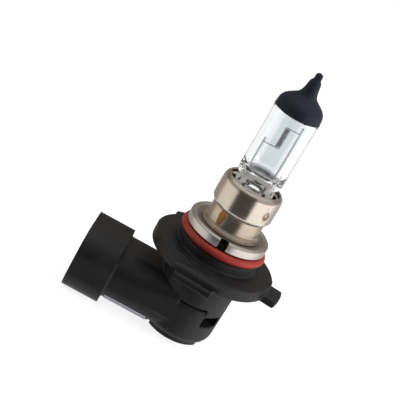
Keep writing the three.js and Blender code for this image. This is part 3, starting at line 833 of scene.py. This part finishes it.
# coating: outer skin on the dome and tip, drawn thin at its edge
P = np.array(outer_dome)
T = np.gradient(P, axis=0)
T /= np.linalg.norm(T, axis=1)[:, None] + 1e-9
N = np.stack([-T[:, 1], T[:, 0]], 1)
Q = P + N * 0.11
Q[:, 0] = np.maximum(Q[:, 0], 0)
keep = [q for q in Q[1:-1] if q[0] > 0.1]
prof = [(GLASS_R - 0.1, CAP_EDGE_Z + 0.02)] + keep + [(0.0, keep[-1][1] + 0.05)] + [tuple(p) for p in P[::-1]]
edge_wave = [0.03 * math.sin(3 * k + 1) + 0.02 * math.sin(7 * k) for k in range(64)]


def coat_shift(r, a, z):
    if z < CAP_EDGE_Z + 0.4:
        z += 0.05 * math.sin(2 * a + 0.6) * 0.5 + 0.02 * math.sin(5 * a + 1.3)
        z = max(z, CAP_EDGE_Z)
    return r, z


coating = lathe("dome_coating", prof, 128, coat_shift, sharp=60)
dress(coating, M_COAT, rep=["top_coating"])

# ------------------------------------------------------------------ filament and posts
FIL0, FIL1, TURNS = 31.55, 36.95, 16
coil = []
for k in range(TURNS * 18 + 1):
    a = 2 * math.pi * k / 18
    coil.append((0.6 * math.cos(a), 0.6 * math.sin(a), FIL1 + (FIL0 - FIL1) * k / (TURNS * 18)))
leg_top = [(2.95, -0.3, 37.05), (2.2, -0.3, 37.1), (1.3, -0.22, 37.06), (0.8, -0.1, 37.0)]
leg_low = [(0.55, 0.1, 31.5), (0.2, 0.25, 31.38), (-0.8, 0.05, 31.36), (-2.2, -0.25, 31.4), (-4.1, -0.3, 31.42)]
path_pts = catmull(leg_top, 5) + coil + catmull(leg_low, 5)
filament = solid_from("filament_wire", tube_geo(path_pts, 0.115, 8), sharp=None)
dress(filament, M_TUNGSTEN, rep=["filament_coil"])

pr, pl = span("support_post_right"), span("support_post_left")
xr, xl = (pr[0][0] + pr[1][0]) / 2, (pl[0][0] + pl[1][0]) / 2
ptop_r, ptop_l = pr[1][2], pl[1][2]
post_r = [(xr, 0, pr[0][2]), (xr, 0, 26), (xr + 0.03, 0, 32), (xr, 0, 36.4), (xr - 0.05, 0, ptop_r - 0.35), (xr - 0.1, -0.05, ptop_r - 0.08)]
o = solid_from("post_right", tube_geo(catmull(post_r, 6), [0.3] * 31, 14), sharp=None)
dress(o, M_MOLY, rep=["support_post_right"])
post_l = [(xl, 0, pl[0][2]), (xl, 0, 25), (xl - 0.02, 0, 28.5), (xl, 0, 30.8), (xl, 0, ptop_l - 0.4), (xl + 0.05, -0.04, ptop_l - 0.08)]
o = solid_from("post_left", tube_geo(catmull(post_l, 6), [0.3] * 31, 14), sharp=None)
dress(o, M_MOLY, rep=["support_post_left"])
for n, s in (("foil_right", 1), ("foil_left", -1)):
    lo, hi = span(n)
    g = slab_geo([(lo[0], lo[2]), (hi[0], lo[2]), (hi[0], hi[2]), (lo[0], hi[2])], -0.03, 0.03, 0.02, 2, to3=lambda x, y, z: (x, z, y))
    dress(solid_from(n + "_strip", g), M_MOLY, rep=[n])
for n, s in (("outer_lead_right", 1), ("outer_lead_left", -1)):
    pts = [(s * 3.0, 0, 12.55), (s * 3.0, 0, 8.0), (s * 2.7, s * 1.1, 2.0), (s * 1.6, s * 2.6, -4.0), (0.6, s * 3.1, -9.0), (0.6, s * 3.1, -12.4)]
    dress(solid_from(n + "_wire", tube_geo(catmull(pts, 8), 0.35, 14), sharp=None), M_LEAD, rep=[n])

# ------------------------------------------------------------------ metal holder
# upper cup: rolled shoulder, open mouth, stepped skirt; a weld ring and a small dimple pressed in its wall
WELDS = [(-45.5, 16.5, 0.62, 0.10), (134.5, 16.5, 0.62, 0.10), (74.5, 16.5, 0.62, 0.10), (-50.5, 18.75, 0.14, 0.05)]


def collar_shift(r, a, z):
    if r > COLLAR_R - 0.1 and 13.9 < z < 19.3:
        r -= 0.05 * abs((z - 16.6) / 2.6) ** 4
    if r > COLLAR_R - 0.4 and 14.6 < z < 19.3:
        for az, wz, wr, h in WELDS:
            d = math.hypot((a - math.radians(az) + math.pi) % (2 * math.pi) - math.pi, 0) * COLLAR_R
            q = math.hypot(d, (z - wz) * 0.75) / wr
            r -= h * math.exp(-(q ** 2) * 1.2) - 0.07 * math.exp(-((q - 1.15) ** 2) * 14)
    return r, z


t = 0.42
cb = COLLAR_LO[2]
oprof = [(7.18, cb + 0.12), (7.3, cb), (COLLAR_R - 0.75, cb), (COLLAR_R - 0.42, cb + 0.35), (COLLAR_R - 0.02, cb + 1.0)]
oprof += [(COLLAR_R, z) for z in np.arange(cb + 1.25, 18.8, 0.16)]
shoulder = [(COLLAR_R - 1.2 * (1 - math.cos(a)), 18.9 + 1.85 * math.sin(a)) for a in np.linspace(0, math.radians(82), 12)]
shoulder += [(6.95, 20.86), (6.8, 20.85), (6.72, 20.78)]
inner_c = [(6.68, 20.66), (6.74, 20.45), (COLLAR_R - 0.95, 20.2), (COLLAR_R - 0.5, 19.7), (COLLAR_R - t, 19.0), (COLLAR_R - t, cb + 1.6), (7.2, cb + 0.9)]
collar = lathe("collar_cup", oprof + shoulder[1:] + inner_c, 180, collar_shift, sharp=50)
dress(collar, M_COLLAR, rep=["capsule_collar"])

# sleeve with its foot flange
sr = 7.05
sl = SLEEVE_LO[2]
sprof = fillet([(sr - t, sl), (8.2, sl), (8.2, sl + 0.34), (7.62, sl + 0.42), (sr, sl + 1.35), (sr, SLEEVE_HI[2]), (sr - t, SLEEVE_HI[2])],
               [0.1, 0.15, 0.15, 0.3, 0.9, 0.12, 0.12], 4)
sleeve = lathe("sleeve_tube", sprof, 160, sharp=50)
dress(sleeve, M_SLEEVE, rep=["focus_sleeve"])

# drawn ring: dished face, rounded rim, slot
zb, zt = RING_LO[2], RING_HI[2]
rprof = fillet([(6.6, zt - 0.82), (9.5, zt - 0.82), (RING_R - 0.45, zt - 1.1), (RING_R - 0.45, zb), (RING_R, zb), (RING_R, zt - 0.45), (RING_R - 0.5, zt), (9.75, zt), (8.9, zt - 0.34), (6.6, zt - 0.34)],
               [0.05, 0.3, 0.3, 0.05, 0.12, 0.45, 0.45, 0.35, 0.35, 0.05], 5)
ring_ob = lathe("drawn_ring", rprof, 180, sharp=50)
slot_cut = solid_from("c1", rot_geo(slab_geo(fillet([(9.95, -1.12), (12, -1.12), (12, 1.12), (9.95, 1.12)], 0.25, 4), 4.6, 9, 0.05, 2), -91.5), sharp=None)
cut(ring_ob, slot_cut)
soft_edges(ring_ob, 0.08, 2, 40)
dress(ring_ob, M_RING, rep=["base_ring"])

# clip and plate keep their CAD shape with eased edges
for n, mname in (("pinch_clip", M_CLIP), ("clip_plate", M_CLIP)):
    src = NODES[n]
    ob = bpy.data.objects.new(n + "_pressed", src.data.copy())
    SCENE.collection.objects.link(ob)
    bm = bmesh.new()
    bm.from_mesh(ob.data)
    bmesh.ops.remove_doubles(bm, verts=bm.verts, dist=1e-6)
    bmesh.ops.dissolve_limit(bm, angle_limit=math.radians(1), verts=bm.verts, edges=bm.edges)
    bm.to_mesh(ob.data)
    bm.free()
    soft_edges(ob, 0.08, 2, 40)
    dress(ob, mname, rep=[n])

# ------------------------------------------------------------------ seal
sc = (SEAL_LO[2] + SEAL_HI[2]) / 2
srad = (SEAL_HI[2] - SEAL_LO[2]) / 2
smaj = SEAL_HI[0] - srad
circ = []
for k in range(40):
    a = 2 * math.pi * k / 40
    bumpy = 0.03 * math.exp(-((a - math.pi / 4) / 0.09) ** 2)
    circ.append((smaj + (srad + bumpy - 0.03) * math.cos(a), sc + (srad + bumpy - 0.03) * math.sin(a)))
seal = lathe("seal_ring", circ, 144, sharp=None)
dress(seal, M_RUBBER, rep=["sealing_ring"])

# ------------------------------------------------------------------ moulded base: the CAD shape with every edge eased as moulded
src = NODES["base_housing"]
hm = src.data.copy()
hm.transform(Matrix.Scale(1000, 4))
house = bpy.data.objects.new("moulded_base", hm)
SCENE.collection.objects.link(house)
rm = house.modifiers.new("skin", "REMESH")
rm.mode, rm.voxel_size, rm.adaptivity = "VOXEL", 0.2, 0.0
sm = house.modifiers.new("ease", "SMOOTH")
sm.factor, sm.iterations = 0.5, 3
dc = house.modifiers.new("thin", "DECIMATE")
dc.ratio = 0.35
baked(house)
house.data.transform(Matrix.Scale(0.001, 4))
house.data.shade_smooth()
dress(house, M_PLASTIC, rep=["base_housing"])
print("housing faces", len(house.data.polygons))

# rear cover: round plate with both ends cut flat, a shallow dished face and its plug
R_ = COVER_HI[1]
x0_, x1_ = COVER_LO[0], COVER_HI[0]
outl = []
a1_, a0_ = math.acos(x1_ / R_), math.acos(x0_ / R_)
for k in range(29):
    a_ = a1_ + (a0_ - a1_) * k / 28
    outl.append((R_ * math.cos(a_), R_ * math.sin(a_)))
for k in range(29):
    a_ = a0_ + (a1_ - a0_) * k / 28
    outl.append((R_ * math.cos(a_), -R_ * math.sin(a_)))
outl = fillet(outl, 0.4, 3)
lidtop = HOUSING_BOTTOM - 0.12
g = slab_geo(outl, COVER_LO[2], lidtop, 0.28, 4)
cover = solid_from("cover_plate", g)
cut(cover, solid_from("c2", shift_geo(slab_geo(round_rect(8.6, 11.4, 2.2, 8), -1, 0.35, 0.1, 2), (0.4, 0, COVER_LO[2])), sharp=None))
soft_edges(cover, 0.08, 2, 40)
plug = solid_from("cover_plug", slab_geo(round_rect(10.6, 13.0, 1.8, 6), lidtop - 0.2, COVER_HI[2], 0.2, 2))
dress(cover, M_PLASTIC, rep=["rear_cover"])
dress(plug, M_PLASTIC, rep=["rear_cover"])

# label
ob = bpy.data.objects.new("blank_strip", NODES["label_strip"].data.copy())
SCENE.collection.objects.link(ob)
far = min(v.co.x for v in ob.data.vertices)
for v in ob.data.vertices:
    if v.co.x < far + 0.0002:
        v.co.x -= 0.0011
ob.data.shade_smooth()
ob.data.set_sharp_from_angle(angle=math.radians(40))
dress(ob, M_LABEL, rep=["label_strip"])

# terminals
for n, s in (("terminal_right", 1), ("terminal_left", -1)):
    src = NODES[n]
    ob = bpy.data.objects.new(n + "_blade", src.data.copy())
    SCENE.collection.objects.link(ob)
    bm = bmesh.new()
    bm.from_mesh(ob.data)
    bmesh.ops.remove_doubles(bm, verts=bm.verts, dist=1e-6)
    bmesh.ops.dissolve_limit(bm, angle_limit=math.radians(1), verts=bm.verts, edges=bm.edges)
    bm.to_mesh(ob.data)
    bm.free()
    soft_edges(ob, 0.15, 3, 40)
    dress(ob, M_BLADE, rep=[n])
